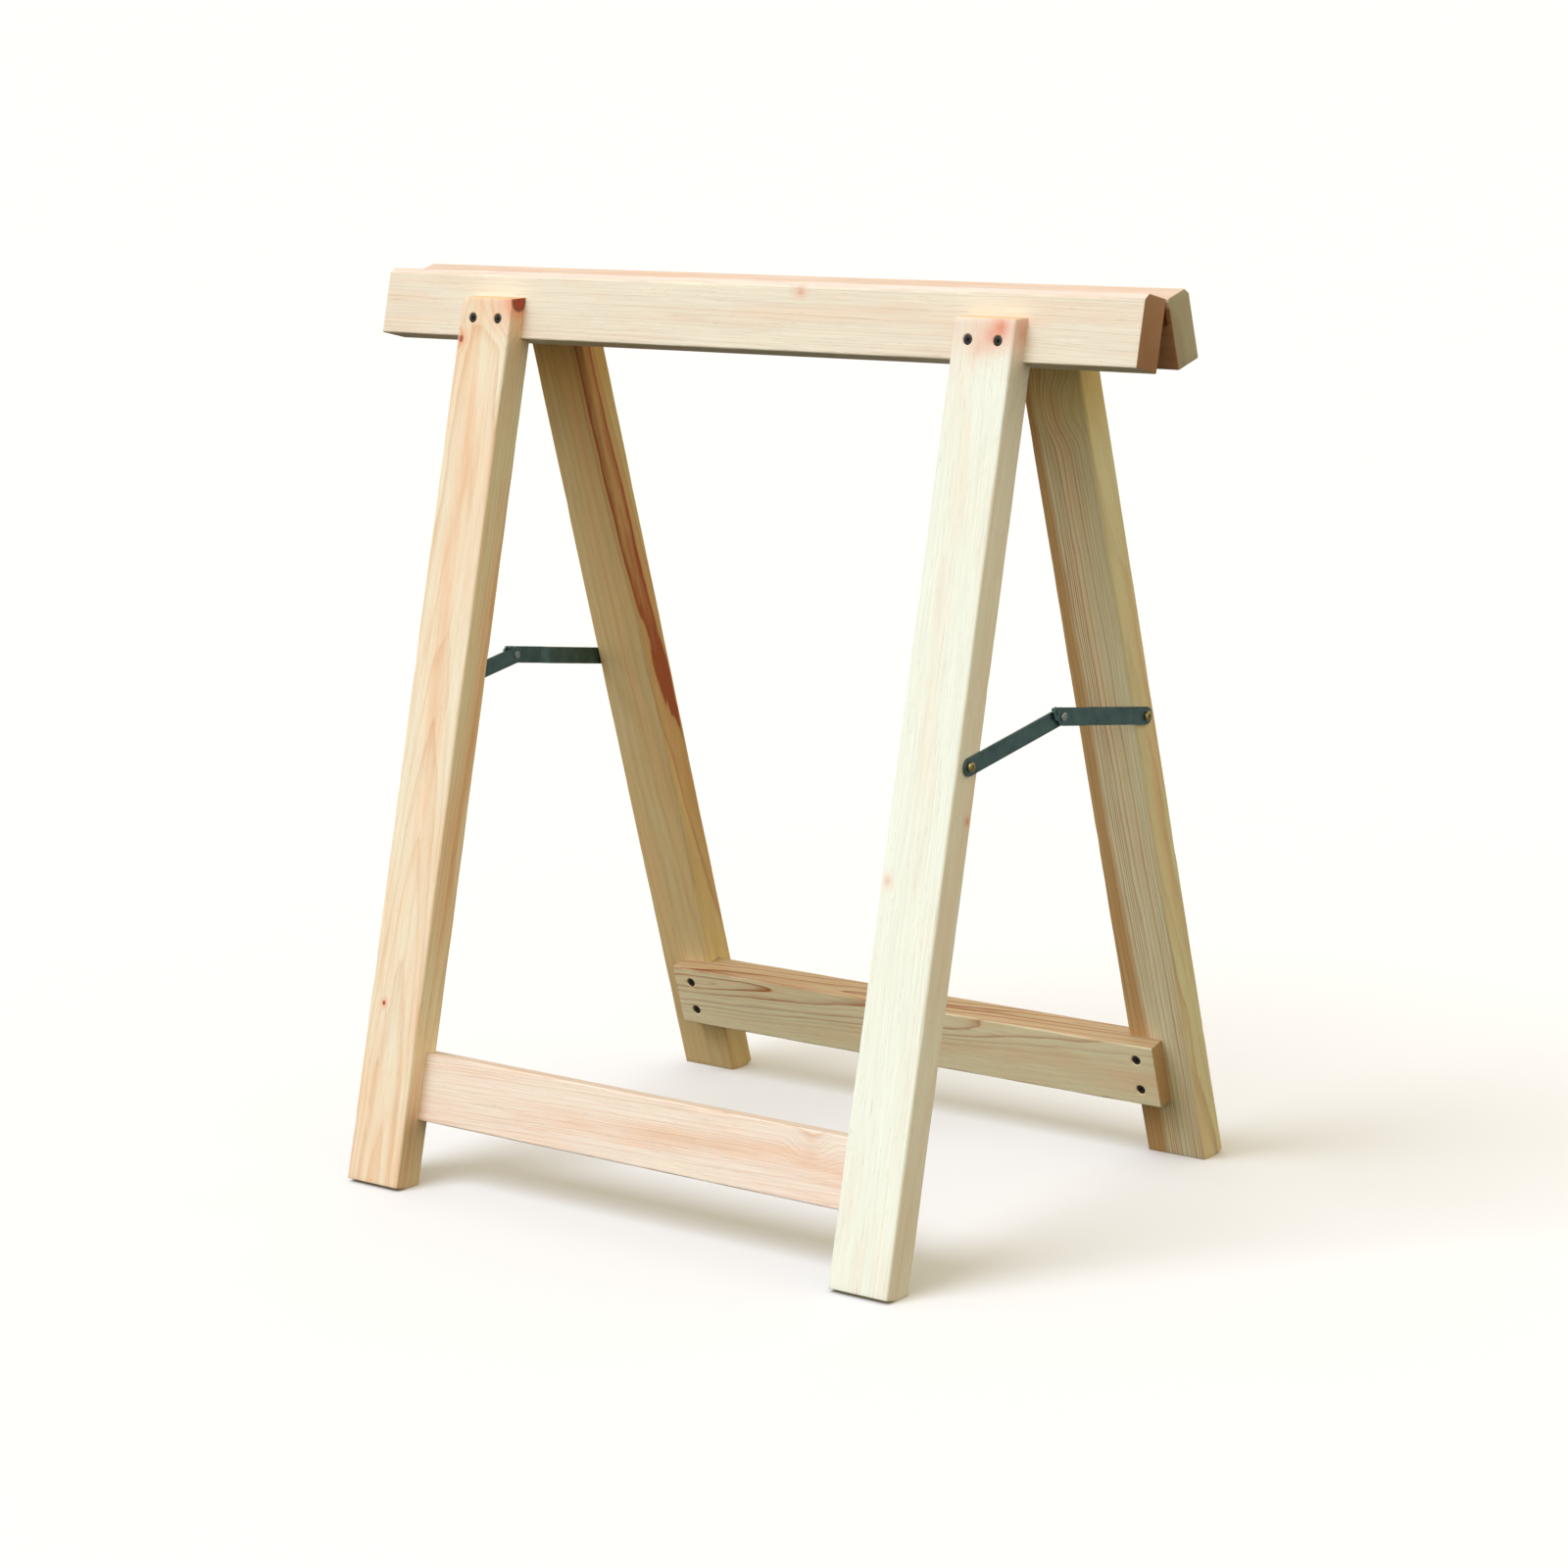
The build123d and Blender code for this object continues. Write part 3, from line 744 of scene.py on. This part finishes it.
def make_beam(side, wood, seed):
    """Beam with its outer top edge chamfered, bored for its screws and grooved for the hinges."""
    word = words[side]
    low, high = beam_box[side]
    centre = middle_of((low, high))
    place = leaned(side) @ Matrix.Translation(centre)
    half, y, z = (high - low) / 2
    corners = [(-y, -z), (y, -z), (y, z - beam_chamfer), (y - beam_chamfer, z), (-y, z)]
    if side == FRONT:
        corners = [(-a, b) for a, b in reversed(corners)]
    mesh = stick_mesh(f"{word}_beam", outline(corners, beam_corner), lambda _: -half, lambda _: half, seed)
    beam = new_piece(f"{word}_beam_wood", mesh, place, f"{word}_frame", "pine", wood, f"{word}_beam")

    from_upright = Matrix.Translation(-centre)
    bm = bmesh.new()
    spots, length = screws_on_legs(side)
    for spot in spots:
        lathe(bm, plain_hole(shank_r + fit, length), from_upright @ spot)
    spots, length = screws_on_hinges(side)
    for spot in spots:
        lathe(bm, hinge_screw_hole(length), from_upright @ spot)
    leaf = upright_box(f"right_hinge_{word}_leaf", side)
    for s in (LEFT, RIGHT):
        start = Vector((s * middle_of(leaf).x, 0, 0))
        reach = (leaf[1].x - leaf[0].x) / 2 + knuckle_play
        groove = [(0, -reach), (knuckle_relief, -reach), (knuckle_relief, reach), (0, reach)]
        lathe(bm, groove, from_upright @ facing(start, (1, 0, 0)))
    cut(beam, finish_bmesh(bm, "holes"))
    smooth(beam.data)


def make_stretcher(side, wood, seed):
    """Stretcher with two countersunk holes at each end."""
    word = words[side]
    low, high = stretcher_box[side]
    centre = middle_of((low, high))
    place = leaned(side) @ Matrix.Translation(centre)
    half, y, z = (high - low) / 2
    section = outline([(-y, -z), (y, -z), (y, z), (-y, z)], beam_corner)
    mesh = stick_mesh(f"{word}_stretcher", section, lambda _: -half, lambda _: half, seed)
    bar = new_piece(f"{word}_stretcher_wood", mesh, place, f"{word}_frame", "pine", wood,
                    f"{word}_stretcher")
    bm = bmesh.new()
    spots, length = screws_on_stretcher(side)
    for spot in spots:
        lathe(bm, wood_screw_hole(length), Matrix.Translation(-centre) @ spot)
    cut(bar, finish_bmesh(bm, "holes"))
    smooth(bar.data)


def make_leg(side, hand, wood, seed):
    """Leg with its top and part of its foot cut level, housed for the beam and the stretcher."""
    name = f"{words[side]}_{hand_words[hand]}_leg"
    low, high = leg_box[side]
    centre = middle_of((low, high))
    centre.x = hand * leg_x
    along = Matrix.Translation(centre) @ Matrix.Rotation(-pi / 2, 4, "Y")
    y = (high.y - low.y) / 2
    half = (high.z - low.z) / 2
    # the outer face is lower at the top, because the top is cut level across a leaning leg
    slope = tan(lean)
    outer_top = half - (leg_outer_y - beam_high.y) * slope
    heel = side * (foot_bevel - y)

    def top(here):
        return outer_top + (y - side * here) * slope

    def foot(here):
        return -half + max(0.0, side * (heel - here)) * slope

    section = outline([(-y, -leg_half), (y, -leg_half), (y, leg_half), (-y, leg_half)], leg_corner, [heel])
    mesh = stick_mesh(name, section, foot, top, seed, heel)
    leg = new_piece(f"{name}_wood", mesh, leaned(side) @ along, f"{words[side]}_frame", "pine", wood, name)

    from_upright = along.inverted()
    wide = leg_half + overcut
    inside = side * (leg_inner_y - overcut)
    above = beam_high.z + 30 * MM       # the beam's housing is open at the top
    bm = bmesh.new()
    block(bm, (hand * leg_x - wide, inside, beam_low.z - fit),
          (hand * leg_x + wide, side * (beam_high.y + fit), above), from_upright)
    block(bm, (hand * (leg_x - wide), inside, bar_low.z - fit),
          (hand * (bar_high.x + fit), side * (bar_high.y + fit), bar_high.z + fit), from_upright)
    cut(leg, finish_bmesh(bm, "housings"))

    bm = bmesh.new()
    top_spots, top_length = screws_on_legs(side)
    bar_spots, bar_length = screws_on_stretcher(side)
    holes = ((top_spots, wood_screw_hole(top_length)), (bar_spots, plain_hole(shank_r + fit, bar_length)),
             (screws_on_braces(side)[0], plain_hole(brace_shank_r + fit, brace_hole_depth)))
    for spots, hole in holes:
        for spot in spots:
            if spot.translation.x * hand > 0:
                lathe(bm, hole, from_upright @ spot)
    cut(leg, finish_bmesh(bm, "holes"))
    smooth(leg.data)


figures = {
    # straight fine grain with one small pin knot; painted shade darkens its top with a pink tint
    "front_beam": dict(pith=(70, -95), drift=(0.035, 0.02), ring=2.1, bold=0.6, blush=0.3, sap=0.5,
                       wander=3, knots=[(63, 0, 22.5, 2.4, 90, 0.55)], tone="#EEE6D6",
                       late_wood="#C49A6C", sawn="#94591C", painted_top_shade="#EBDFEC"),
    # dark heartwood on the inner face, which also serves as painted shade in the gap between the beams;
    # painted shade darkens its top a little
    "back_beam": dict(pith=(-74, 0), drift=(0.02, -0.03), ring=2.8, bold=0.8, heart=70,
                      late_wood="#743A0C", core="#944A08", sawn="#ACA694", painted_top_shade="#EBDFEC"),
    # pinkish, with the swell of a buried knot near its right end; painted shade dims its top a little
    "front_stretcher": dict(pith=(40, -60), drift=(0.02, 0.05), ring=2.4, bold=0.9, blush=0.5,
                            knots=[(183, 0, 13, 5, 90, 0.14)], tone="#F5E6DA", painted_top_shade="#E4E0DC"),
    # cut near the pith, flames on its top face, which painted shade darkens
    "back_stretcher": dict(pith=(4, 30), drift=(0.05, 0.03), ring=4.0, bold=1.7, blush=0.4, wander=7,
                           calm=(13, 32), tone="#F4EAC6", late_wood="#B4682A", painted_top_shade="#C6B4A4"),
    # arches down its outer face and a red knot on its top right corner; its end grain is made paler,
    # partly as painted light on its level-cut top
    "front_left_leg": dict(pith=(30, 2), drift=(0.035, 0.0), ring=4.2, bold=0.6, blush=0.6, sap=0.7,
                           wander=4, tone="#F4E3C8", sawn="#DDBB8C",
                           knots=[(373, -5, -28.5, 7.5, -35, 1.0), (338, -14, 28, 2.4, 90, 0.9),
                                  (-226, -14, 16.5, 1.4, 90, 1.0)]),
    # the palest stick, stained pink between its screws; painted shade tints its shaded -Z side, and its end
    # grain is made paler, partly as painted light on its level-cut top
    "front_right_leg": dict(pith=(30, 110), drift=(0.01, 0.01), ring=3.0, bold=0.24, blush=0.2, sap=0.0,
                            wander=3, tone="#F6FDF2", sawn="#DDBB8C", painted_side_shade="#FFF8FF",
                            knots=[(366, -14, -12, 5, 75, 0.78), (359, -14, -4, 5, 90, 0.4),
                                   (350, -14, 5, 4, 90, 0.25), (366, -2, -30, 9, 0, 0.42),
                                   (-62, -14, 24, 2.5, 90, 0.4), (-9, 11, -28, 1.6, 0, 0.7)]),
    # orange flames in the heartwood of its right-hand side; painted shade browns its upper end under the
    # beam
    "back_left_leg": dict(pith=(9, -40), drift=(-0.06, 0.02), ring=8.0, bold=2.4, heart=27, sap=0.2,
                          wander=8, calm=(24, 36), tone="#DCC490", late_wood="#A44C14", core="#D0A46E",
                          shaded="#FAE8C0"),
    # bold rings on the left that swirl under the beam; painted shade browns its upper end under the beam
    "back_right_leg": dict(pith=(-20, 120), drift=(0.01, 0.02), ring=3.1, bold=2.0, wander=5, heart=104,
                           sap=0.2, calm=(118, 150), tone="#E6DFBE", late_wood="#AC7030",
                           core="#BE9052", knots=[(300, -14, 2, 6, 90, 0)], shaded="#FAE8C0"),
}
woods = {stick: pine(f"planed_pine_{stick}", **figure) for stick, figure in figures.items()}
black_screw = phosphated_steel("phosphated_steel_screw")
brace_strip = plated_steel("dull_zinc_plated_strip", "#5F7B80", "#48606A", 0.42)
rivet_steel = plated_steel("zinc_plated_rivet", "#A6AEB6", "#828C94", 0.36)
yellow_zinc = plated_steel("yellow_zinc_screw", "#B8A876", "#847A54", 0.38, cloud_size=3.33)
hinge_brass = plated_steel("brass_plated_hinge", "#C08C40", "#8C6028", 0.38)

first_seed = {FRONT: 1, BACK: 11}     # of each frame's own waves, wear and knocks
for side, word in words.items():
    seed = first_seed[side]
    make_beam(side, woods[f"{word}_beam"], seed)
    make_stretcher(side, woods[f"{word}_stretcher"], seed + 1)
    make_leg(side, LEFT, woods[f"{word}_left_leg"], seed + 2)
    make_leg(side, RIGHT, woods[f"{word}_right_leg"], seed + 3)

# width, slot and depth of the driver's cross
wood_cross = (4.6 * MM, 1.1 * MM, 1.9 * MM)
brace_cross = (4.4 * MM, 1.0 * MM, 1.5 * MM)
_, length = screws_on_legs(BACK)
wood_screw = threaded_screw("wood_screw", countersunk_head(head_r, shank_r), length, shank_r, 2.6 * MM,
                            wood_cross)
_, length = screws_on_braces(BACK)
brace_screw = threaded_screw("brace_screw", pan_head(head_r, brace_head_height, brace_shank_r), length,
                             brace_shank_r, 1.8 * MM, brace_cross)


def place_screws(node, spots, mesh, side, slot_name, material):
    """A screw at each spot, every one stopped at another turn."""
    for number, spot in enumerate(spots, 1):
        turned = leaned(side) @ spot @ Matrix.Rotation(radians(37 * number + 11), 4, "Z")
        new_piece(f"{node}_{number}", mesh.copy(), turned, f"{words[side]}_frame", slot_name, material,
                  node)


for side, word in words.items():
    place_screws(f"{word}_leg_screws", screws_on_legs(side)[0], wood_screw, side, "black_screw",
                 black_screw)
    place_screws(f"{word}_stretcher_screws", screws_on_stretcher(side)[0], wood_screw, side,
                 "black_screw", black_screw)
    place_screws(f"{word}_brace_screws", screws_on_braces(side)[0], brace_screw, side, "yellow_zinc",
                 yellow_zinc)

for name, node in frame["nodes"].items():
    if node.hide_render:
        continue
    if "rivet" in name:
        material = rivet_steel
    elif "link" in name:
        material = brace_strip
    else:
        material = hinge_brass
    node.material_slots[0].material = material


# ---- stage ----

floor_radius = 2000.0

# colour of the dome by height, from straight down (0) to straight up (1)
dome_stops = (
    (0.0, (0.05, 0.045, 0.02)), (0.48, (0.06, 0.052, 0.024)),     # keeps undersides dark
    (0.49, (1.2, 1.2, 1.2)), (0.53, (1.2, 1.2, 1.2)),             # white behind the floor's edge
    (0.56, (0.66, 0.60, 0.46)), (0.63, (1.36, 1.26, 1.0)), (1.0, (0.52, 0.49, 0.41)),
)
warm_side = (1.0, 0.92, 0.68, 1)        # filter over the dome towards +X
floor_glint = (0.34, 0.33, 0.28, 1)     # what gloss sees below the horizon
key_energy = 1.75
key_spread = 35                         # degrees, so that its shadows are soft
key_colour = (0.95, 1.0, 1.16)
key_direction = (0.25, 0.52, -0.82)
camera_place = (2.00775, -2.51594, 0.98949)
camera_turn = (78.433, 1.443, 38.18)    # degrees
camera_lens = 90.768

floor_mesh = bpy.data.meshes.new("floor")
bm = bmesh.new()
bmesh.ops.create_circle(bm, cap_ends=True, radius=floor_radius, segments=96)
bm.to_mesh(floor_mesh)
bm.free()
floor = bpy.data.objects.new("floor", floor_mesh)
bpy.context.scene.collection.objects.link(floor)
floor_paint, _, _ = new_material("pale_studio_floor", base_color=linear("#EAEBF0"), roughness=0.9)
floor_mesh.materials.append(floor_paint)
floor.visible_diffuse = False         # wood and metal meet the dim lower dome instead of the floor
floor.visible_glossy = False

world = bpy.data.worlds.new("studio")
bpy.context.scene.world = world
world.use_nodes = True
tree = world.node_tree
around = add(tree, "ShaderNodeTexCoord")
direction = add(tree, "ShaderNodeSeparateXYZ", {0: around.outputs["Generated"]})
height = add(tree, "ShaderNodeMapRange", {"Value": direction.outputs[2], "From Min": -1, "From Max": 1})
dome = add(tree, "ShaderNodeValToRGB", {0: height.outputs[0]},
           stops=[(place, (*colour, 1)) for place, colour in dome_stops])
sideways = add(tree, "ShaderNodeMapRange",
               {"Value": direction.outputs[0], "From Min": 0.1, "From Max": 0.8})
glow = add(tree, "ShaderNodeMix", {0: sideways.outputs[0], MIX_A: dome.outputs[0], MIX_B: warm_side},
           data_type="RGBA", blend_type="MULTIPLY")
downward = add(tree, "ShaderNodeMapRange", {"Value": direction.outputs[2], "From Min": -0.06,
                                            "From Max": -0.01, "To Min": 1.0, "To Max": 0.0})
rays = add(tree, "ShaderNodeLightPath")
mirrored = add(tree, "ShaderNodeMath", {0: downward.outputs[0], 1: rays.outputs["Is Glossy Ray"]},
               operation="MULTIPLY")
seen = add(tree, "ShaderNodeMix", {0: mirrored.outputs[0], MIX_A: glow.outputs[MIX_OUT],
                                   MIX_B: floor_glint}, data_type="RGBA")
tree.links.new(seen.outputs[MIX_OUT], tree.nodes["Background"].inputs["Color"])

lamp = bpy.data.lights.new("soft_key", "SUN")
lamp.angle = radians(key_spread)
lamp.energy = key_energy
lamp.color = key_colour
key = bpy.data.objects.new("soft_key", lamp)
bpy.context.scene.collection.objects.link(key)
key.rotation_euler = Vector(key_direction).to_track_quat("-Z", "Y").to_euler()

view = bpy.data.cameras.new("camera")
view.lens = camera_lens
view.clip_end = 2 * floor_radius
camera = bpy.data.objects.new("camera", view)
camera.location = camera_place
camera.rotation_euler = [radians(a) for a in camera_turn]
bpy.context.scene.collection.objects.link(camera)
bpy.context.scene.camera = camera
bpy.context.scene.view_settings.view_transform = "Standard"

bpy.context.view_layer.update()
